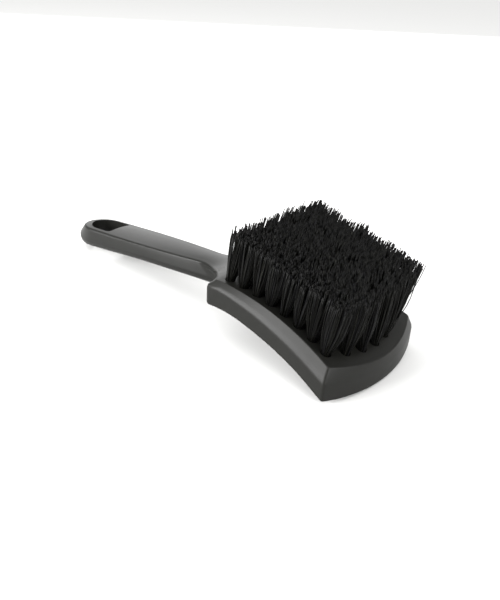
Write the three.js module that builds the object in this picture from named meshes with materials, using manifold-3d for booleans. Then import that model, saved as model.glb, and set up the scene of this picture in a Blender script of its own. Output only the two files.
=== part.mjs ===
// Wheel brush: one moulded block with an arched head and a drooping handle,
// and rows of separate filament tufts standing in blind holes in its deck.
// Millimetres, +Z up. While drawing, x = 0 is the line through the two front corners
// and the handle runs towards -x; the finished part is centred on its own footprint.
import * as THREE from 'three';
import { mergeVertices } from 'three/addons/utils/BufferGeometryUtils.js';
import Module from 'manifold-3d';

const manifold = await Module();
manifold.setup();

// ---------------------------------------------------------------- driving dimensions

// Plan outline at the upper rim and at the foot of the walls. The walls lean outwards.
const RIM = { tip: -210, tipLength: 17, grip: 11.1, neck: [-103, 8.8], flare: [[-92, 8.0], [-82.5, 14.2]], shoulder: [-69.6, 30.5], front: [0, 33.3], bulge: 8.8 };
const FOOT = { tip: -215.2, tipLength: 22, grip: 11.8, neck: [-95, 9.1], flare: [[-82, 7.9], [-74.9, 14]], shoulder: [-72.2, 33.4], front: [1.0, 37], bulge: 8.1 };

// Side profile: [x, z] along the centre line, over the top and along the underside.
const TOP_PROFILE = [
  [-216, 15.0], [-200, 16.9], [-170, 19.6], [-140, 22.3], [-110, 25.0], [-94, 26.6],
  [-84, 28.8], [-75, 31.8], [-66, 33.0], [-50, 31.4], [-34, 28.5], [-17, 23.7], [0, 17.4], [10, 13.0],
];
const BOTTOM_PROFILE = [
  [-217, 4.2], [-210, 0.8], [-203, -0.8], [-195, 0.3], [-170, 5.5], [-140, 9.8], [-110, 12.3], [-90, 12.7],
  [-73, 13.6], [-55, 13.9], [-35, 11.6], [-17, 6.9], [0, 0.5], [8, -1.5],
];
const TOP_CROWN = [[-220, 1.0], [-100, 1.0], [-88, 1.6], [-79, 1.0], [-71, 0], [10, 0]];
const BOTTOM_CROWN = [[-217, 2.0], [-200, 4.2], [-170, 2.2], [-95, 1.4], [-73, 6.2], [-35, 3.0], [0, 1.8], [10, 1.8]];

const RIM_RADIUS = [[-220, 1.8], [-90, 2.2], [-72, 0.8], [-8, 0.8], [10, 1.1]];
const FOOT_RADIUS = [[-220, 3.0], [-90, 3.4], [-72, 1.4], [10, 1.0]];
// How far down the wall leans out, as a part of its height. Below this knee it stands plumb.
const WALL_KNEE = [[-220, 0.85], [-95, 0.8], [-72, 0.24], [-50, 0.34], [-28, 0.43], [10, 0.46]];

// Hanging hole through the end of the handle
const HOLE = { tip: -202.5, end: -179, halfWidth: 8.2, tipLength: 11, corner: 3 };

// Tufts: rows follow the front arc, columns follow the waisted sides
const ROWS = 8;
const COLUMNS = 7;
const ROW_PITCH = 8.3;
const FIRST_ROW = -5.8;        // x of the first row's outer tufts
const RIM_MARGIN = 5.1;        // rim to tuft centre
const ROW_BULGE = 7.2;         // how far the middle of the first row stands forward
const BORE_RADIUS = 2.6;
const BORE_DEPTH = 9;
const ROOT_RADIUS = 2.25;
const ROOT_GAP = 0.3;          // clearance under the root
const CELL_GAP = 0.3;          // half the clearance between neighbouring tufts
const TIPS = { front: -0.2, rear: -55.2, bulge: 2.8, half: 28.6 };   // grid of the tuft tips
const TRIM = { atCorners: 45.6, slope: -0.25 };                    // height of the tips over x
const TUFT_SIDES = 12;

const PLASTIC = { color: 0x2b2c2c, roughness: 0.55, metalness: 0 };
const FILAMENT = { color: 0x131414, roughness: 0.6, metalness: 0 };

// ---------------------------------------------------------------- small helpers

const lerp = THREE.MathUtils.lerp;

// Smooth curve through [x, value] knots, as a function of x
function profile(knots) {
  const slope = knots.map((knot, i) => {
    const before = knots[Math.max(i - 1, 0)];
    const after = knots[Math.min(i + 1, knots.length - 1)];
    return (after[1] - before[1]) / (after[0] - before[0]);
  });
  return (x) => {
    let i = knots.findIndex((knot) => knot[0] > x) - 1;
    if (i === -2) i = knots.length - 2;
    i = Math.max(i, 0);
    const [x0, v0] = knots[i];
    const [x1, v1] = knots[i + 1];
    const w = x1 - x0;
    const t = THREE.MathUtils.clamp((x - x0) / w, 0, 1);
    const a = v0 * (1 + 2 * t) * (1 - t) ** 2 + v1 * t * t * (3 - 2 * t);
    return a + w * t * (1 - t) * (slope[i] * (1 - t) - slope[i + 1] * t);
  };
}

const topProfile = profile(TOP_PROFILE);
const bottomProfile = profile(BOTTOM_PROFILE);
const topCrown = profile(TOP_CROWN);
const bottomCrown = profile(BOTTOM_CROWN);
const rimRadius = profile(RIM_RADIUS);
const footRadius = profile(FOOT_RADIUS);
const wallKnee = profile(WALL_KNEE);

// Height of the deck or handle top at x; u is 0 on the centre line and 1 at the rim
const topHeight = (x, u) => topProfile(x) - topCrown(x) * u * u;
const bottomHeight = (x, u) => bottomProfile(x) + bottomCrown(x) * u * u;

function bezier(...points) {
  const vectors = points.map(([x, y]) => new THREE.Vector2(x, y));
  return vectors.length === 3
    ? new THREE.QuadraticBezierCurve(...vectors)
    : new THREE.CubicBezierCurve(...vectors);
}

function toManifold(geometry) {
  const bare = geometry.clone();
  bare.deleteAttribute('normal');
  bare.deleteAttribute('uv');
  const merged = mergeVertices(bare, 1e-4);
  return new manifold.Manifold(new manifold.Mesh({
    numProp: 3,
    vertProperties: new Float32Array(merged.attributes.position.array),
    triVerts: new Uint32Array(merged.index.array),
  }));
}

function fromManifold(solid) {
  const mesh = solid.getMesh();
  const geometry = new THREE.BufferGeometry();
  geometry.setAttribute('position', new THREE.BufferAttribute(mesh.vertProperties, 3));
  geometry.setIndex(new THREE.BufferAttribute(mesh.triVerts, 1));
  const flat = geometry.toNonIndexed();
  flat.computeVertexNormals();
  return flat;
}

// Closed strip of quads between successive rows of points
function gridIndex(rows, columns, offset, flip) {
  const index = [];
  for (let i = 0; i < rows - 1; i += 1) {
    for (let j = 0; j < columns - 1; j += 1) {
      const a = offset + i * columns + j;
      const b = a + columns;
      const quad = [a, b, a + 1, a + 1, b, b + 1];
      index.push(...(flip ? quad.reverse() : quad));
    }
  }
  return index;
}

// ---------------------------------------------------------------- block

// Half of the plan outline from the handle tip round to the middle of the front
function planOutline(d) {
  const tipEnd = d.tip + d.tipLength;
  const [sx, sy] = d.shoulder;
  const [fx, fy] = d.front;
  const [nx] = d.neck;
  const radius = (fy * fy + d.bulge * d.bulge) / (2 * d.bulge);
  const centre = fx + d.bulge - radius;
  const half = Math.asin(fy / radius);
  const arcStart = half - 1.2 / radius;
  const arcPoint = [centre + radius * Math.cos(arcStart), radius * Math.sin(arcStart)];
  const parts = [
    [new THREE.EllipseCurve(tipEnd, 0, d.tipLength, d.grip, Math.PI, Math.PI / 2, true), 10],
    [bezier([tipEnd, d.grip], [tipEnd + 26, d.grip + 0.5], [nx - 38, d.grip + 1.1], d.neck), 11],
    [bezier(d.neck, ...d.flare, [sx - 0.2, sy - 2.3]), 12],
    [bezier([sx - 0.2, sy - 2.3], [sx + 0.1, sy + 0.1], [sx + 2.4, sy]), 4],
    [bezier([sx + 2.4, sy], [-52, sy - 1.9], [-20, fy - 3.8], [fx - 1.2, fy - 0.25]), 12],
    [bezier([fx - 1.2, fy - 0.25], [fx, fy], arcPoint), 3],
    [new THREE.EllipseCurve(centre, 0, radius, radius, arcStart, 0, true), 12],
  ];
  return parts.flatMap(([curve, count], part) => {
    const points = curve.getPoints(count);
    if (part > 0) points.shift();
    return points.map((point, i) => ({ point, part, along: (i + (part > 0 ? 1 : 0)) / count }));
  });
}

function inwardNormals(stations) {
  return stations.map((station, i) => {
    if (i === 0) return new THREE.Vector2(1, 0);
    if (i === stations.length - 1) return new THREE.Vector2(-1, 0);
    const run = stations[i + 1].point.clone().sub(stations[i - 1].point).normalize();
    return new THREE.Vector2(run.y, -run.x);
  });
}

// Where the rib of a station starts on the centre line
function axisPoint(station) {
  const x = station.point.x;
  if (station.part === 0) return lerp(RIM.tip + 5, RIM.tip + RIM.tipLength, station.along);
  if (station.part === 6) return lerp(x, RIM.front[0] + 4, station.along);
  return x;
}

// One rib: over the top, round the rim, down the wall, round the foot and back underneath
function ribPoints(rim, foot, rimNormal, footNormal) {
  const points = [];
  const axis = axisPoint(rim);
  const rimR = rimRadius(rim.point.x);
  const footR = footRadius(rim.point.x);
  const rimInset = rim.point.clone().addScaledVector(rimNormal, rimR);
  const footInset = foot.point.clone().addScaledVector(footNormal, footR);
  const rimZ = topHeight(rimInset.x, 1);
  const footZ = bottomHeight(footInset.x, 1);
  const add = (x, y, z) => points.push([x, Math.max(y, 0), z]);

  for (let i = 0; i <= 5; i += 1) {
    const u = i / 5;
    const x = lerp(axis, rimInset.x, u);
    add(x, rimInset.y * u, topHeight(x, u));
  }
  const wallEnd = footZ + footR;
  const knee = wallKnee(rim.point.x);
  const lean = Math.atan2(rim.point.distanceTo(foot.point), knee * (rimZ - rimR - wallEnd));
  const roll = Math.PI / 2 - Math.min(lean, 0.6);
  const wallTop = rimZ - rimR * (1 - Math.cos(roll));
  const start = rimInset.clone().addScaledVector(rimNormal, -rimR * Math.sin(roll));
  for (let i = 1; i <= 4; i += 1) {
    const a = (i / 4) * roll;
    const p = rimInset.clone().addScaledVector(rimNormal, -rimR * Math.sin(a));
    add(p.x, p.y, rimZ - rimR * (1 - Math.cos(a)));
  }
  const rows = [[0.5 * knee, 0.5], [0.88 * knee, 0.88], [lerp(knee, 1, 0.12), 1], [lerp(knee, 1, 0.55), 1], [1, 1]];
  for (const [v, swell] of rows) {
    const p = start.clone().lerp(foot.point, swell);
    add(p.x, p.y, lerp(wallTop, wallEnd, v));
  }
  for (let i = 1; i <= 3; i += 1) {
    const a = (i / 3) * Math.PI / 2;
    const p = foot.point.clone().addScaledVector(footNormal, footR * (1 - Math.cos(a)));
    add(p.x, p.y, footZ + footR * (1 - Math.sin(a)));
  }
  for (let i = 4; i >= 0; i -= 1) {
    const u = i / 5;
    const x = lerp(axis, footInset.x, u);
    add(x, footInset.y * u, bottomHeight(x, u));
  }
  return points;
}

function blockShell() {
  const rim = planOutline(RIM);
  const foot = planOutline(FOOT);
  const rimNormals = inwardNormals(rim);
  const footNormals = inwardNormals(foot);
  const ribs = rim.map((station, i) => ribPoints(station, foot[i], rimNormals[i], footNormals[i]));
  const columns = ribs[0].length;
  const half = ribs.flat();
  const positions = [...half, ...half.map(([x, y, z]) => [x, -y, z])];
  const geometry = new THREE.BufferGeometry();
  geometry.setAttribute('position', new THREE.Float32BufferAttribute(positions.flat(), 3));
  geometry.setIndex([
    ...gridIndex(ribs.length, columns, 0, false),
    ...gridIndex(ribs.length, columns, half.length, true),
  ]);
  return toManifold(geometry);
}

function holeCutter() {
  const { tip, end, halfWidth, tipLength, corner } = HOLE;
  const shape = new THREE.Shape();
  shape.absellipse(tip + tipLength, 0, tipLength, halfWidth, Math.PI / 2, 1.5 * Math.PI, false);
  shape.lineTo(end - corner, -halfWidth);
  shape.quadraticCurveTo(end, -halfWidth, end, -halfWidth + corner);
  shape.lineTo(end, halfWidth - corner);
  shape.quadraticCurveTo(end, halfWidth, end - corner, halfWidth);
  const cutter = new THREE.ExtrudeGeometry(shape, { depth: 40, bevelEnabled: false, curveSegments: 10 });
  cutter.translate(0, 0, -5);
  return toManifold(cutter);
}

function boreCutter(tuft) {
  const length = BORE_DEPTH + 4;
  const bore = new THREE.CylinderGeometry(BORE_RADIUS, BORE_RADIUS, length, TUFT_SIDES);
  bore.translate(0, length / 2 - BORE_DEPTH, 0);
  bore.applyQuaternion(new THREE.Quaternion().setFromUnitVectors(new THREE.Vector3(0, 1, 0), tuft.axis));
  bore.translate(...tuft.base.toArray());
  return toManifold(bore);
}

// Shell, less the hole and bores, less the sliver under z = 0 that leaves two flat feet
function blockGeometry(tufts) {
  const table = toManifold(new THREE.BoxGeometry(400, 200, 20).translate(-105, 0, -10));
  const cutters = manifold.Manifold.union([table, holeCutter(), ...tufts.map(boreCutter)]);
  return fromManifold(blockShell().subtract(cutters));
}

// ---------------------------------------------------------------- tufts

function rimHalfWidth(x) {
  const side = planOutline(RIM).filter((station) => station.part === 4).map((station) => station.point);
  const i = Math.max(side.findIndex((point) => point.x > x), 1);
  const t = (x - side[i - 1].x) / (side[i].x - side[i - 1].x);
  return lerp(side[i - 1].y, side[i].y, t);
}

function tuftLayout() {
  const tufts = [];
  for (let row = 0; row < ROWS; row += 1) {
    const back = row / (ROWS - 1);
    const edgeX = FIRST_ROW - row * ROW_PITCH;
    const halfRow = rimHalfWidth(edgeX) - RIM_MARGIN;
    for (let column = 0; column < COLUMNS; column += 1) {
      const across = (2 * column) / (COLUMNS - 1) - 1;
      const x = edgeX + ROW_BULGE * (1 - back) * (1 - across * across);
      const base = new THREE.Vector3(x, halfRow * across, topHeight(x, 0));
      const tipX = lerp(TIPS.front, TIPS.rear, back) + TIPS.bulge * (1 - back) * (1 - across * across);
      const tip = new THREE.Vector3(tipX, TIPS.half * across, TRIM.atCorners + TRIM.slope * tipX);
      tufts.push({
        name: `tuft_${row + 1}${'abcdefg'[column]}`,
        base,
        axis: tip.sub(base).normalize(),
        spacing: (2 * Math.min(halfRow, TIPS.half)) / (COLUMNS - 1),
      });
    }
  }
  return tufts;
}

// A ring of the tuft: round at the root, a rounded rectangle where it fills its cell
function ring(tuft, height, halfX, halfY, squareness) {
  const axis = tuft.axis;
  const u = new THREE.Vector3(axis.z, 0, -axis.x).normalize();
  const v = axis.clone().cross(u);
  const power = 2 / squareness;
  return Array.from({ length: TUFT_SIDES }, (_, i) => {
    const a = ((i + 0.5) / TUFT_SIDES) * 2 * Math.PI;
    const cx = Math.sign(Math.cos(a)) * Math.abs(Math.cos(a)) ** power * halfX;
    const cy = Math.sign(Math.sin(a)) * Math.abs(Math.sin(a)) ** power * halfY;
    const p = tuft.base.clone().addScaledVector(u, cx).addScaledVector(v, cy);
    const level = TRIM.atCorners + TRIM.slope * p.x - p.z;
    const toTrim = level / (axis.z - TRIM.slope * axis.x);
    return p.addScaledVector(axis, height >= 1 ? toTrim : height * toTrim).toArray();
  });
}

function rootRing(tuft, depth) {
  const flat = ring(tuft, 0, ROOT_RADIUS, ROOT_RADIUS, 2);
  return flat.map(([x, y, z]) => new THREE.Vector3(x, y, z).addScaledVector(tuft.axis, -depth).toArray());
}

function tuftGeometry(tuft) {
  const cellX = (TIPS.front - TIPS.rear) / (ROWS - 1) / 2 - CELL_GAP;
  const cellY = TIPS.half / (COLUMNS - 1) - CELL_GAP;
  const rings = [
    rootRing(tuft, BORE_DEPTH - ROOT_GAP),
    rootRing(tuft, 0),
    ring(tuft, 0.45, 0.93 * cellX, 0.47 * tuft.spacing - CELL_GAP, 3),
    ring(tuft, 1, cellX, cellY, 4),
  ];
  const cap = (points) => points.reduce((sum, p) => sum.map((s, k) => s + p[k] / TUFT_SIDES), [0, 0, 0]);
  const positions = [...rings.flat(), cap(rings[0]), cap(rings.at(-1))];
  const index = [];
  for (let i = 0; i < TUFT_SIDES; i += 1) {
    const next = (i + 1) % TUFT_SIDES;
    for (let level = 0; level < rings.length - 1; level += 1) {
      const a = level * TUFT_SIDES;
      const b = a + TUFT_SIDES;
      index.push(a + i, a + next, b + i, b + i, a + next, b + next);
    }
    const last = (rings.length - 1) * TUFT_SIDES;
    const caps = rings.length * TUFT_SIDES;
    index.push(caps, next, i, caps + 1, last + i, last + next);
  }
  const geometry = new THREE.BufferGeometry();
  geometry.setAttribute('position', new THREE.Float32BufferAttribute(positions.flat(), 3));
  geometry.setIndex(index);
  return fromManifold(toManifold(geometry));
}

// ---------------------------------------------------------------- assembly

function addMesh(group, name, geometry, look) {
  const mesh = new THREE.Mesh(geometry, new THREE.MeshStandardMaterial(look));
  mesh.name = name;
  group.add(mesh);
}

const group = new THREE.Group();
group.name = 'wheel_brush';
const tufts = tuftLayout();
addMesh(group, 'brush_block', blockGeometry(tufts), PLASTIC);
tufts.forEach((tuft) => addMesh(group, tuft.name, tuftGeometry(tuft), FILAMENT));

// Centre the footprint on the origin, with the feet on z = 0
const box = new THREE.Box3().setFromObject(group);
const shift = [-(box.min.x + box.max.x) / 2, -(box.min.y + box.max.y) / 2, -box.min.z];
group.children.forEach((mesh) => mesh.geometry.translate(...shift));

export default group;
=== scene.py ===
# %% [markdown]
# # A wheel brush, from its measured model to a finished brush
#
# The brush is a palm-sized block of black plastic with a flat handle, and fifty-six
# tufts of stiff black filament that stand in blind holes in its deck. It is used to
# scrub tyres and wheels when a car is washed.
#
# The measured model gives every size and place. This lesson dresses it: one moulded
# block, fifty-six tufts made of single folded filaments, and the flat wires that hold
# each tuft down in its hole. Everything is in metres.

# %% Load the measured model
import math
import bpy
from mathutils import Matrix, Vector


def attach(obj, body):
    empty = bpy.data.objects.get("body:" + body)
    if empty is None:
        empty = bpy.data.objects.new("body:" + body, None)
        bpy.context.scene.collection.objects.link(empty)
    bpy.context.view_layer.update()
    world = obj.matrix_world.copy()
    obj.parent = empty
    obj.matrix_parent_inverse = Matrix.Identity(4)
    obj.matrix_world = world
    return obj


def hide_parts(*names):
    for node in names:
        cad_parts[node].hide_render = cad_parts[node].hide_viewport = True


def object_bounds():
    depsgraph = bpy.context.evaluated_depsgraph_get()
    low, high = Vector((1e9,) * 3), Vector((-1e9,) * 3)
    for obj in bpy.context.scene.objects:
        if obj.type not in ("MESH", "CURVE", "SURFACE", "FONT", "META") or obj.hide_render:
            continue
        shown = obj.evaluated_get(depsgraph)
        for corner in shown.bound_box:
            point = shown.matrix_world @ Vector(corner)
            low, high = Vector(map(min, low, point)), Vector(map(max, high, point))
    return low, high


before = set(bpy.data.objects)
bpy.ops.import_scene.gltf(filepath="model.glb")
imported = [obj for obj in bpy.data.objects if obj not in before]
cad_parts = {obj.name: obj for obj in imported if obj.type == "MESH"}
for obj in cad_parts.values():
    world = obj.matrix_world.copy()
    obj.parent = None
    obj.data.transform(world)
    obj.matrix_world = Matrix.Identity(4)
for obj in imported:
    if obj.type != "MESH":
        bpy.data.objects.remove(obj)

from types import SimpleNamespace

import bmesh
import bpy
import numpy as np
from mathutils import Matrix, Vector

MM = 0.001
cad_low, cad_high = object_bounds()
cad_size = cad_high - cad_low
tuft_names = sorted(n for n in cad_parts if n.startswith("tuft_"))
print("model, mm:", [round(v / MM, 1) for v in cad_size], "with", len(tuft_names), "tufts")

# %% [markdown]
# ## The view
#
# The brush lies on its back with the filaments up and its broad front towards the lens.
# A lens of about 39 mm from a third of a metre gives the slight widening of the front.
# The camera is turned from three angles: round the object, above the horizon,
# and a small roll, because the brush doesn't lie quite level to the lens.

# %% Camera
VIEW_ROUND, VIEW_ABOVE, VIEW_ROLL = (math.radians(a) for a in (40.52, 27.64, 2.76))
LOOK_AT = Vector((30.2, 0.2, 9.5)) * MM
DISTANCE = 337.5 * MM

toward_camera = Vector((math.sin(VIEW_ROUND) * math.cos(VIEW_ABOVE),
                        -math.cos(VIEW_ROUND) * math.cos(VIEW_ABOVE),
                        math.sin(VIEW_ABOVE)))
level_right = Vector((math.cos(VIEW_ROUND), math.sin(VIEW_ROUND), 0))
level_up = toward_camera.cross(level_right)
right = level_right * math.cos(VIEW_ROLL) + level_up * math.sin(VIEW_ROLL)
up = level_up * math.cos(VIEW_ROLL) - level_right * math.sin(VIEW_ROLL)

lens = bpy.data.cameras.new("studio_camera")
lens.lens, lens.sensor_width = 39.02, 36
lens.clip_start, lens.clip_end = 0.01, 20
camera = bpy.data.objects.new("studio_camera", lens)
bpy.context.scene.collection.objects.link(camera)
placed = Matrix((right, up, toward_camera)).transposed().to_4x4()
placed.translation = LOOK_AT + toward_camera * DISTANCE
camera.matrix_world = placed
bpy.context.scene.camera = camera
print("camera at, mm:", [round(v / MM) for v in placed.translation])

# %% [markdown]
# ## Two small helpers for materials
#
# Colours are chosen as sRGB hex values, as in any paint program, and shaders want them
# linear. A material is a short chain of nodes, and one helper adds a node, sets what it
# is given, and links its inputs, so that each material below reads like a recipe.

# %% Helpers for materials
def linear(hex_colour):
    """An sRGB hex colour as linear red, green, blue and alpha."""
    parts = [int(hex_colour[i:i + 2], 16) / 255 for i in (1, 3, 5)]
    return [c / 12.92 if c <= 0.04045 else ((c + 0.055) / 1.055) ** 2.4 for c in parts] + [1]


def node(tree, kind, settings=None, **inputs):
    """Adds a node. An input given as (node, "output") is linked, and any other is a value.

    Inputs go by name, with _ for a space, or by number: i0, i1, i2.
    """
    made = tree.nodes.new(kind)
    for name, value in (settings or {}).items():
        setattr(made, name, value)
    for name, value in inputs.items():
        numbered = name[0] == "i" and name[1:].isdigit()
        socket = made.inputs[int(name[1:]) if numbered else name.replace("_", " ")]
        if isinstance(value, tuple) and isinstance(value[0], bpy.types.Node):
            tree.links.new(value[0].outputs[value[1]], socket)
        else:
            socket.default_value = value
    return made


def blank(name):
    """A new material with its Principled shader and output, and nothing else."""
    material = bpy.data.materials.new(name)
    material.use_nodes = True
    tree = material.node_tree
    return material, tree, tree.nodes["Principled BSDF"]


print("a black plastic, linear:", [round(c, 4) for c in linear("#161614")[:3]])

# %% [markdown]
# ## Floor and light
#
# A pale floor, a white room and a wide even ceiling light the brush from everywhere, as
# a light tent does. A black object shows its shape by what it mirrors, so each softbox
# is hung where one face of the brush mirrors it. The one behind draws the flat of the
# handle and the saddle, the one on the left draws the sloping band of the near wall, and
# a weak one in front lifts the front wall and the first row of tufts.

# %% Floor
def deselect_all():
    for other in list(bpy.context.selected_objects):
        other.select_set(False)


FLOOR_SIDE = 20             # metres, so that its edge is far behind the brush
deselect_all()
bpy.ops.mesh.primitive_plane_add(size=FLOOR_SIDE, location=(0, 0, 0))
floor = bpy.context.object
floor.name = "studio_floor"
floor_paint, _, shader = blank("floor, matt white paint")
shader.inputs["Base Color"].default_value = linear("#c6c6c5")
shader.inputs["Roughness"].default_value = 0.9
shader.inputs["Specular IOR Level"].default_value = 0.2
floor.data.materials.append(floor_paint)
print("floor, m:", list(floor.dimensions[:2]))

# %% Light
world = bpy.data.worlds.new("white_room")
bpy.context.scene.world = world
world.use_nodes = True
room = world.node_tree.nodes["Background"]
room.inputs["Color"].default_value = (1, 1, 1, 1)
room.inputs["Strength"].default_value = 0.5
bpy.context.scene.view_settings.view_transform = "Standard"


def hang(name, kind, **settings):
    """A lamp of a kind, with its settings, linked to the scene."""
    lamp = bpy.data.lights.new(name, kind)
    for setting, value in settings.items():
        setattr(lamp, setting, value)
    hung = bpy.data.objects.new(name, lamp)
    bpy.context.scene.collection.objects.link(hung)
    return hung


BRUSH_MIDDLE = Vector((0, 0, 0.02))
for name, place, width, height, watts in (
        ("softbox_behind", (-0.95, 1.1, 0.6), 1.8, 1.2, 17),
        ("softbox_left", (-0.72, -1.21, 0.52), 1.1, 0.65, 72),
        ("softbox_front", (1.3, -0.1, 0.5), 1.0, 0.6, 22)):
    softbox = hang(name, "AREA", shape="RECTANGLE", size=width, size_y=height, energy=watts)
    softbox.location = place
    softbox.rotation_euler = (Vector(place) - BRUSH_MIDDLE).to_track_quat("Z", "Y").to_euler()
# the ceiling of the light tent: wide, even, and as bright far away as it is near
hang("ceiling", "SUN", energy=3.0, angle=math.radians(95))

# %% [markdown]
# ## Material of the block
#
# The block is polypropylene, injection-moulded in a spark-eroded tool. That gives a
# satin black: no grain to speak of from a hand's distance, a soft broad highlight, and
# a faint unevenness where the melt flowed. The eroded texture is about 0.1 mm from peak
# to peak. It is drawn three times as coarse, so that it still breaks up the highlight.

# %% Black polypropylene
FLOW_LOW, FLOW_HIGH = 0.4, 0.95     # the range that the two noises together fill


def black_polypropylene():
    material, tree, shader = blank("polypropylene, injection-moulded, spark-eroded satin")
    place = node(tree, "ShaderNodeTexCoord")
    # flow of the melt: patches of 25 mm, drawn out along the brush
    along = node(tree, "ShaderNodeMapping", Vector=(place, "Object"), Scale=(0.35, 1, 1))
    flow = node(tree, "ShaderNodeTexNoise", Vector=(along, "Vector"),
                Scale=1 / (25 * MM), Detail=3, Roughness=0.5)
    mottle = node(tree, "ShaderNodeTexNoise", Vector=(place, "Object"),
                  Scale=1 / (3.5 * MM), Detail=4, Roughness=0.6)
    both = node(tree, "ShaderNodeMath", {"operation": "MULTIPLY_ADD"},
                i0=(mottle, "Fac"), i1=0.35, i2=(flow, "Fac"))
    colour = node(tree, "ShaderNodeValToRGB", Fac=(both, "Value"))
    dark, pale = colour.color_ramp.elements
    dark.position, pale.position = FLOW_LOW, FLOW_HIGH
    dark.color, pale.color = linear("#0f0f0d"), linear("#161614")
    tree.links.new(colour.outputs["Color"], shader.inputs["Base Color"])
    # satin, and a little glossier in drawn-out streaks
    satin = node(tree, "ShaderNodeMapRange", Value=(both, "Value"),
                 From_Min=FLOW_LOW, From_Max=FLOW_HIGH, To_Min=0.37, To_Max=0.46)
    tree.links.new(satin.outputs["Result"], shader.inputs["Roughness"])
    # spark-eroded grain, 0.3 mm as drawn, and the slow waves of sink, 14 mm
    grain = node(tree, "ShaderNodeTexNoise", Vector=(place, "Object"),
                 Scale=1 / (0.3 * MM), Detail=2, Roughness=0.6)
    sink = node(tree, "ShaderNodeTexNoise", Vector=(place, "Object"),
                Scale=1 / (14 * MM), Detail=1, Roughness=0.4)
    slow = node(tree, "ShaderNodeBump", Height=(sink, "Fac"), Strength=0.25, Distance=0.12 * MM)
    fine = node(tree, "ShaderNodeBump", Height=(grain, "Fac"), Normal=(slow, "Normal"),
                Strength=0.35, Distance=0.012 * MM)
    tree.links.new(fine.outputs["Normal"], shader.inputs["Normal"])
    shader.inputs["IOR"].default_value = 1.49
    shader.inputs["Specular IOR Level"].default_value = 0.15
    return material


plastic = black_polypropylene()
print("made:", plastic.name)

# %% [markdown]
# ## The moulded block
#
# Handle, saddle and head are one shot of plastic. The measured body already has the
# right shape, so the piece starts as a copy of it: its loose triangles are merged and
# its normals weighted by face, so that the broad swept surfaces shade as one and only
# the true edges stay crisp.

# %% Moulded block
SAME_POINT = 0.004 * MM     # points closer than this are one
TRUE_EDGE = math.radians(32)


def work_on(piece):
    """Makes a piece the only one that an operator acts on."""
    deselect_all()
    bpy.context.view_layer.objects.active = piece
    piece.select_set(True)


def copy_of_cad(cad_name, new_name):
    """A new piece with the measured body's shape, its loose triangles merged."""
    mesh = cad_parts[cad_name].data.copy()
    mesh.name = new_name
    mesh.materials.clear()
    piece = bpy.data.objects.new(new_name, mesh)
    bpy.context.scene.collection.objects.link(piece)
    work_on(piece)
    bpy.ops.object.mode_set(mode="EDIT")
    bpy.ops.mesh.select_all(action="SELECT")
    bpy.ops.mesh.customdata_custom_splitnormals_clear()
    bpy.ops.mesh.remove_doubles(threshold=SAME_POINT)
    bpy.ops.mesh.dissolve_degenerate(threshold=SAME_POINT)
    bpy.ops.object.mode_set(mode="OBJECT")
    return piece


block = copy_of_cad("brush_block", "moulded_block")
bpy.ops.object.shade_smooth_by_angle(angle=TRUE_EDGE)
weighted = block.modifiers.new("even shading", "WEIGHTED_NORMAL")
weighted.mode, weighted.weight, weighted.keep_sharp = "FACE_AREA", 80, True
bpy.ops.object.modifier_apply(modifier=weighted.name)
block.data.materials.append(plastic)
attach(block, "root")
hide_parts("brush_block")
print("block faces:", len(block.data.polygons))

# %% [markdown]
# ## Material of the filament
#
# The filament is nylon monofilament: extruded, drawn, crimped a little by the tufting
# machine, and cut to one plane. It is dyed black in the melt. From the side it is
# glossy along its length. Each cut end is matt, because the blade leaves it rough.
# Each filament keeps its own shade in an attribute, and a second attribute says how
# far a point is from root to tip.

# %% Black nylon monofilament
def black_nylon():
    material, tree, shader = blank("nylon monofilament, extruded, cut")
    shade = node(tree, "ShaderNodeAttribute", {"attribute_name": "shade"})
    reach = node(tree, "ShaderNodeAttribute", {"attribute_name": "reach"})
    dye = node(tree, "ShaderNodeValToRGB", Fac=(shade, "Fac"))
    dye.color_ramp.elements[0].color = linear("#030303")
    dye.color_ramp.elements[1].color = linear("#1c1c18")
    dye.color_ramp.elements.new(0.45).color = linear("#090906")
    dye.color_ramp.elements.new(0.85).color = linear("#09090c")
    # the last half millimetre is the rough cut: matt, and its colour painted near black as painted
    # shade on the tops of the tufts
    cut = node(tree, "ShaderNodeMapRange", Value=(reach, "Fac"), From_Min=0.985, From_Max=1.0)
    colour = node(tree, "ShaderNodeMix", {"data_type": "RGBA"}, Factor=(cut, "Result"))
    tree.links.new(dye.outputs["Color"], colour.inputs["A"])
    colour.inputs["B"].default_value = linear("#030303")
    tree.links.new(colour.outputs["Result"], shader.inputs["Base Color"])
    # drawing marks, a fifth of a millimetre apart, along the filament
    place = node(tree, "ShaderNodeTexCoord")
    drawn = node(tree, "ShaderNodeMapping", Vector=(place, "Object"), Scale=(1, 1, 0.08))
    marks = node(tree, "ShaderNodeTexNoise", Vector=(drawn, "Vector"),
                 Scale=1 / (0.2 * MM), Detail=2)
    gloss = node(tree, "ShaderNodeMapRange", Value=(marks, "Fac"),
                 From_Min=0.3, From_Max=0.7, To_Min=0.38, To_Max=0.55)
    rough = node(tree, "ShaderNodeMath", {"operation": "MAXIMUM"},
                 i0=(gloss, "Result"), i1=(cut, "Result"))
    tree.links.new(rough.outputs["Value"], shader.inputs["Roughness"])
    shader.inputs["IOR"].default_value = 1.53
    shader.inputs["Specular IOR Level"].default_value = 0.1
    return material


nylon = black_nylon()
print("made:", nylon.name)

# %% [markdown]
# ## One filament
#
# A tuft is a bundle of filaments folded in half round a flat wire, with both ends up.
# One filament is modelled once, straight: a five-sided circle, extruded ring by ring.
# Most of its rings are in its two legs, and five are down in the hole. Every filament of the
# brush is a copy of it, bent to its own path.

# %% Straight filament
THICK = 0.4 * MM            # filament diameter, coarser than the real one so that each shows
SIDES = 5
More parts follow.
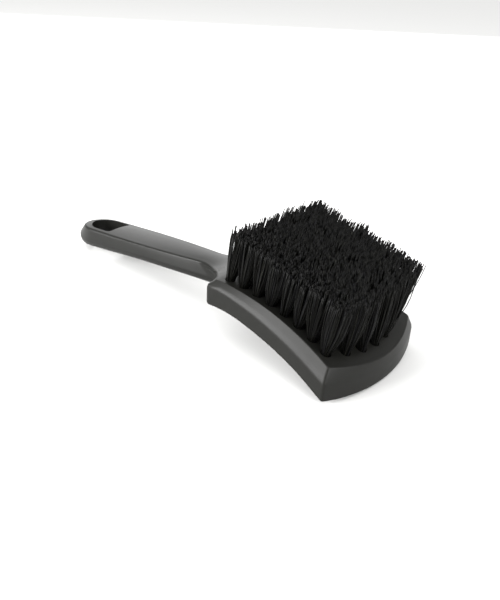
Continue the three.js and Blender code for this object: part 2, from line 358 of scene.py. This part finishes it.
# the rings of a leg, from deck to tip, as parts of its length
LEG = (0.0, 0.09, 0.2, 0.33, 0.48, 0.64, 0.82, 1.0)
IN_HOLE = 5                 # rings below the deck: one down each leg and three in the fold
ring_count = 2 * len(LEG) + IN_HOLE

deselect_all()
bpy.ops.mesh.primitive_circle_add(vertices=SIDES, radius=THICK / 2, fill_type="NGON",
                                  location=(0, 0, 0))
filament = bpy.context.object
filament.name = "one_filament"
bpy.ops.object.mode_set(mode="EDIT")
bpy.ops.mesh.select_all(action="SELECT")
for _ in range(ring_count - 1):
    bpy.ops.mesh.extrude_region_move(TRANSFORM_OT_translate={"value": (0, 0, 1 * MM)})
bpy.ops.mesh.select_all(action="SELECT")
bpy.ops.mesh.normals_make_consistent(inside=False)
bpy.ops.object.mode_set(mode="OBJECT")

straight = np.array([v.co[:] for v in filament.data.vertices])
ring_of = np.rint(straight[:, 2] / MM).astype(int)
round_of = straight[:, :2]
filament_faces = [tuple(p.vertices) for p in filament.data.polygons]
bpy.data.objects.remove(filament)
print("one filament:", len(straight), "points,", len(filament_faces), "faces,", ring_count, "rings")

# %% [markdown]
# ## Reading a tuft's place from the model
#
# Each measured tuft is a plain soft solid: a round root in its hole, widening to a
# rounded square at the trimmed plane. Its lowest ring gives where the filaments fold,
# and its highest ring gives the patch of the trimmed top that its tips fill.

# %% Root and tip of a tuft
def rings_of(cad_name):
    """Centre and ring of a tuft's root, and centre and ring of its trimmed tip."""
    loose = np.array([v.co[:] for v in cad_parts[cad_name].data.vertices])
    points = np.unique(np.round(loose, 7), axis=0)
    points = points[np.argsort(points[:, 2])]
    ends = []
    for part in (points[:13], points[-13:]):
        middle = part.mean(axis=0)
        away = np.linalg.norm(part - middle, axis=1)
        ends.append((part[away.argmin()], np.delete(part, away.argmin(), axis=0)))
    return ends


HOLE_DEPTH = 8.7 * MM       # from the deck to the foot of a tuft
(root, root_ring), (tip, tip_ring) = rings_of("tuft_4d")
print("middle tuft, root to tip, mm:", round(float(np.linalg.norm(tip - root)) / MM, 1),
      "tip patch, mm:", np.round(np.ptp(tip_ring, axis=0)[:2] / MM, 1))

# %% [markdown]
# ## Where a tuft stands
#
# Each tuft gets its own set of directions: along its hole, and two across it that are
# turned a little at random, so that no two tufts are woven alike. The trimmed plane is
# the flattest plane through the ring of its tip.

# %% Standing place
dice = np.random.default_rng(56)


def stand_of(cad_name):
    """A tuft's mouth in the deck, its directions, and its trimmed tip."""
    (root, _), (tip, tip_ring) = rings_of(cad_name)
    axis = (tip - root) / np.linalg.norm(tip - root)
    turn = dice.uniform(-0.2, 0.2)
    side = np.cross([np.sin(turn), np.cos(turn), 0], axis)
    side /= np.linalg.norm(side)
    spread = tip_ring - tip
    trim = np.linalg.svd(spread - spread.mean(axis=0))[2][2]
    return SimpleNamespace(axis=axis, side=side, cross=np.cross(axis, side), tip=tip, ring=tip_ring,
                           mouth=root + axis * HOLE_DEPTH, trim=trim * np.sign(trim[2]))


def across(stand, far, angles):
    """Steps square to a tuft's axis, each with its own length and angle."""
    return far[:, None] * (np.cos(angles)[:, None] * stand.side
                           + np.sin(angles)[:, None] * stand.cross)


def edge_of(stand, angles):
    """How far the tip's ring is from its middle, in each direction."""
    flat = np.stack([(stand.ring - stand.tip) @ stand.side,
                     (stand.ring - stand.tip) @ stand.cross], axis=1)
    at = np.arctan2(flat[:, 1], flat[:, 0])
    order = np.argsort(at)
    return np.interp(angles, at[order], np.linalg.norm(flat, axis=1)[order], period=2 * np.pi)


print("random numbers come from:", type(dice.bit_generator).__name__)

# %% [markdown]
# ## Legs of the filaments
#
# The legs start packed in the round hole and lean apart until they meet the legs of
# the next tufts, which is why gaps show at the foot of the brush and none at its top.
# No two are alike: each has a small bow and a length a little off, and one in thirty is
# a stray that stands out from its neighbours. Damp and static draw neighbours together
# into wisps, and each wisp ends a little higher or lower than the next.

# %% Legs
FOLDED = 66                 # folded filaments in a hole, so twice as many ends
ROOT_REACH = 1.98 * MM      # how far from the hole's middle a leg may stand
TIP_SPREAD = 1.16           # how far the tips go past their own patch, into the next ones
TIP_JITTER = 0.6 * MM
UNEVEN = 0.5 * MM           # how uneven the lengths are, filament by filament and wisp by wisp
STRAYS = 0.035              # part of the filaments that stand out
STRAY_REACH = 1.2 * MM
WISPS, WISP_PULL = 13, 0.55
BOW = 0.5 * MM
FOLD_ABOVE = 1.9 * MM       # where the fold begins, above the foot of the hole


def legs(stand, seed, sway, lift, opens):
    """The paths of some legs, as one array of points for each ring, from fold to tip."""
    far, angles = np.hypot(*seed.T), np.arctan2(seed[:, 1], seed[:, 0])
    start = stand.mouth + (seed[:, :1] * stand.side + seed[:, 1:] * stand.cross) * ROOT_REACH
    tip_far = far * (edge_of(stand, angles) * TIP_SPREAD) + dice.normal(0, TIP_JITTER, far.shape)
    end = stand.tip + across(stand, tip_far, angles)
    off_plane = ((end - stand.tip) @ stand.trim) / (stand.axis @ stand.trim)
    end -= stand.axis * off_plane[:, None]
    stray = dice.random(far.shape) < STRAYS
    end[:, :2] += sway
    end += stand.axis * (lift + dice.normal(0, UNEVEN, far.shape)
                         + stray * dice.uniform(-1.5, 0.8, far.shape) * MM)[:, None]
    end += ((stray * dice.normal(0, STRAY_REACH, far.shape))[:, None] * stand.side
            + (stray * dice.normal(0, STRAY_REACH, far.shape))[:, None] * stand.cross)
    wisps = end[dice.choice(len(end), WISPS, replace=False)]
    drop = dice.normal(-0.25 * MM, UNEVEN, WISPS)
    closest = np.linalg.norm(end[:, None] - wisps, axis=2).argmin(axis=1)
    end += ((wisps[closest] - end) * dice.uniform(0, WISP_PULL, (len(end), 1))
            + stand.axis * drop[closest][:, None])
    bow_far = dice.normal(0, BOW, far.shape) * (1 + 2.0 * stray)
    bow = across(stand, bow_far, dice.uniform(0, 2 * np.pi, far.shape))
    sideways = end - start - stand.axis * ((end - start) @ stand.axis)[:, None]
    path = [start - stand.axis * (HOLE_DEPTH - FOLD_ABOVE)]
    for part in LEG:
        lean = 1 - (1 - part) ** opens
        path.append(start + (end - start) * part + sideways * (lean - part)
                    + bow * math.sin(math.pi * part))
    return path


print("ends in a tuft:", 2 * FOLDED, "of", THICK / MM, "mm")

# %% [markdown]
# ## A tuft of folded filaments
#
# The legs are spread in the hole as evenly as the seeds of a sunflower, and joined in
# pairs by a fold. Every ring of the straight filament is then set square to its path.

# %% Tufts
def folded_paths(stand):
    """The paths of a tuft's filaments, from tip to fold to tip."""
    count = np.arange(2 * FOLDED)
    away = np.sqrt((count + 0.5) / len(count))
    angle = count * np.pi * (3 - np.sqrt(5)) + dice.uniform(0, 6.28)
    seed = np.stack([away * np.cos(angle), away * np.sin(angle)], axis=1)
    seed += dice.normal(0, 0.05, seed.shape)
    sway = dice.normal(0, 0.5 * MM, 2) + [0, 0.6 * MM]      # the whole tuft leans a little
    lift = dice.normal(0, 0.25 * MM)
    opens = dice.uniform(1.3, 2.6)                          # how low it opens out
    order = np.argsort(seed[:, 0])
    first, second = (half[np.argsort(seed[half, 1])] for half in (order[:FOLDED], order[FOLDED:]))
    a = legs(stand, seed[first], sway, lift, opens)
    b = legs(stand, seed[second], sway, lift, opens)
    bottom = 0.5 * (a[0] + b[0]) - stand.axis * (1.0 * MM)
    quarters = [near[0] * 0.72 + other[0] * 0.28 - stand.axis * (0.78 * MM)
                for near, other in ((a, b), (b, a))]
    return np.stack([*a[::-1], quarters[0], bottom, quarters[1], *b], axis=1)


def make_tuft(cad_name, new_name):
    """A piece with all the filaments of one tuft."""
    stand = stand_of(cad_name)
    path = folded_paths(stand)
    forward = np.gradient(path, axis=1)
    forward /= np.linalg.norm(forward, axis=2, keepdims=True)
    wide = np.cross(forward, np.broadcast_to(stand.cross, forward.shape))
    wide /= np.linalg.norm(wide, axis=2, keepdims=True)
    tall = np.cross(wide, forward)
    thick = dice.normal(1, 0.06, (FOLDED, 1, 1))
    points = (path[:, ring_of] + wide[:, ring_of] * (round_of[:, :1] * thick)
              + tall[:, ring_of] * (round_of[:, 1:] * thick)).reshape(-1, 3)

    per = len(straight)
    faces = [tuple(v + k * per for v in face) for k in range(FOLDED) for face in filament_faces]
    mesh = bpy.data.meshes.new(new_name)
    mesh.from_pydata(points.tolist(), [], faces)
    reach = np.array([*LEG[::-1], *[0.0] * IN_HOLE, *LEG])
    shade = np.clip(dice.normal(0.45, 0.25, FOLDED), 0, 1)
    for name, values in (("reach", np.tile(reach[ring_of], FOLDED)),
                         ("shade", np.repeat(shade, per))):
        kept = mesh.attributes.new(name, "FLOAT", "POINT")
        kept.data.foreach_set("value", values.astype(np.float32))
    mesh.polygons.foreach_set("use_smooth", [len(f) == 4 for f in faces])
    mesh.update()
    piece = bpy.data.objects.new(new_name, mesh)
    bpy.context.scene.collection.objects.link(piece)
    return piece


for name in tuft_names:
    bundle = make_tuft(name, name.replace("tuft", "bristles"))
    bundle.data.materials.append(nylon)
    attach(bundle, "root")
    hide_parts(name)
print("filament ends:", 2 * FOLDED * len(tuft_names), "triangles in a tuft:",
      sum(len(p.vertices) - 2 for p in bundle.data.polygons))

# %% [markdown]
# ## The anchor wires
#
# A tufting machine drives a short piece of flat brass wire into each hole, over the
# fold of its filaments, and its ends bite into the plastic. One wire is modelled: a
# flat bar, bevelled where it was rolled and nipped shorter at its lower corners, so
# that it starts to cut into the hole. It is copied to the foot of every hole.

# %% Brass of the wires
def drawn_brass():
    material, tree, shader = blank("brass, rolled flat wire")
    place = node(tree, "ShaderNodeTexCoord")
    # rolling marks: fine lines a tenth of a millimetre apart along the wire
    along = node(tree, "ShaderNodeMapping", Vector=(place, "Object"), Scale=(1, 0.1, 1))
    marks = node(tree, "ShaderNodeTexNoise", Vector=(along, "Vector"),
                 Scale=1 / (0.1 * MM), Detail=2)
    colour = node(tree, "ShaderNodeValToRGB", Fac=(marks, "Fac"))
    colour.color_ramp.elements[0].color = linear("#a9894a")
    colour.color_ramp.elements[1].color = linear("#c9a75e")
    tree.links.new(colour.outputs["Color"], shader.inputs["Base Color"])
    rough = node(tree, "ShaderNodeMapRange", Value=(marks, "Fac"), To_Min=0.28, To_Max=0.45)
    tree.links.new(rough.outputs["Result"], shader.inputs["Roughness"])
    shader.inputs["Metallic"].default_value = 1
    return material


brass = drawn_brass()
print("made:", brass.name)

# %% One anchor wire
WIRE_LONG, WIRE_THICK, WIRE_TALL = 4.9 * MM, 0.35 * MM, 1.3 * MM
NIP, ROLLED = 0.55 * MM, 0.08 * MM      # the nipped corners and the rolled edges

deselect_all()
bpy.ops.mesh.primitive_cube_add(size=1, location=(0, 0, 0),
                                scale=(WIRE_LONG, WIRE_THICK, WIRE_TALL))
wire = bpy.context.object
bpy.ops.object.transform_apply(location=False, rotation=False, scale=True)
bpy.ops.object.mode_set(mode="EDIT")
nips = bmesh.from_edit_mesh(wire.data)
for edge in nips.edges:
    ends = [v.co for v in edge.verts]
    edge.select_set(all(abs(p.x) > 0.4 * WIRE_LONG and p.z < 0 for p in ends))
nips.select_flush_mode()
bmesh.update_edit_mesh(wire.data)
bpy.ops.mesh.bevel(offset=NIP, segments=1)
bpy.ops.object.mode_set(mode="OBJECT")
rolled = wire.modifiers.new("rolled edges", "BEVEL")
rolled.width, rolled.segments, rolled.limit_method = ROLLED, 2, "ANGLE"
bpy.ops.object.modifier_apply(modifier=rolled.name)
wire.data.materials.append(brass)
print("wire, mm:", [round(v / MM, 2) for v in wire.dimensions])

# %% An anchor in every hole
WIRE_UP = 1.75 * MM         # from the foot of the tuft to the middle of its wire
for name in tuft_names:
    (root, _), (tip, _) = rings_of(name)
    upward = Vector(tip - root).normalized()
    lengthways = Vector((0, 1, 0)).cross(upward).normalized()
    stands = Matrix((lengthways, upward.cross(lengthways), upward)).transposed().to_4x4()
    stands.translation = Vector(root) + upward * WIRE_UP
    anchor = bpy.data.objects.new(name.replace("tuft", "anchor"), wire.data.copy())
    bpy.context.scene.collection.objects.link(anchor)
    anchor.data.transform(stands)
    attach(anchor, "root")
bpy.data.objects.remove(wire)
print("anchor wires:", len(tuft_names), "faces in each:", len(anchor.data.polygons))
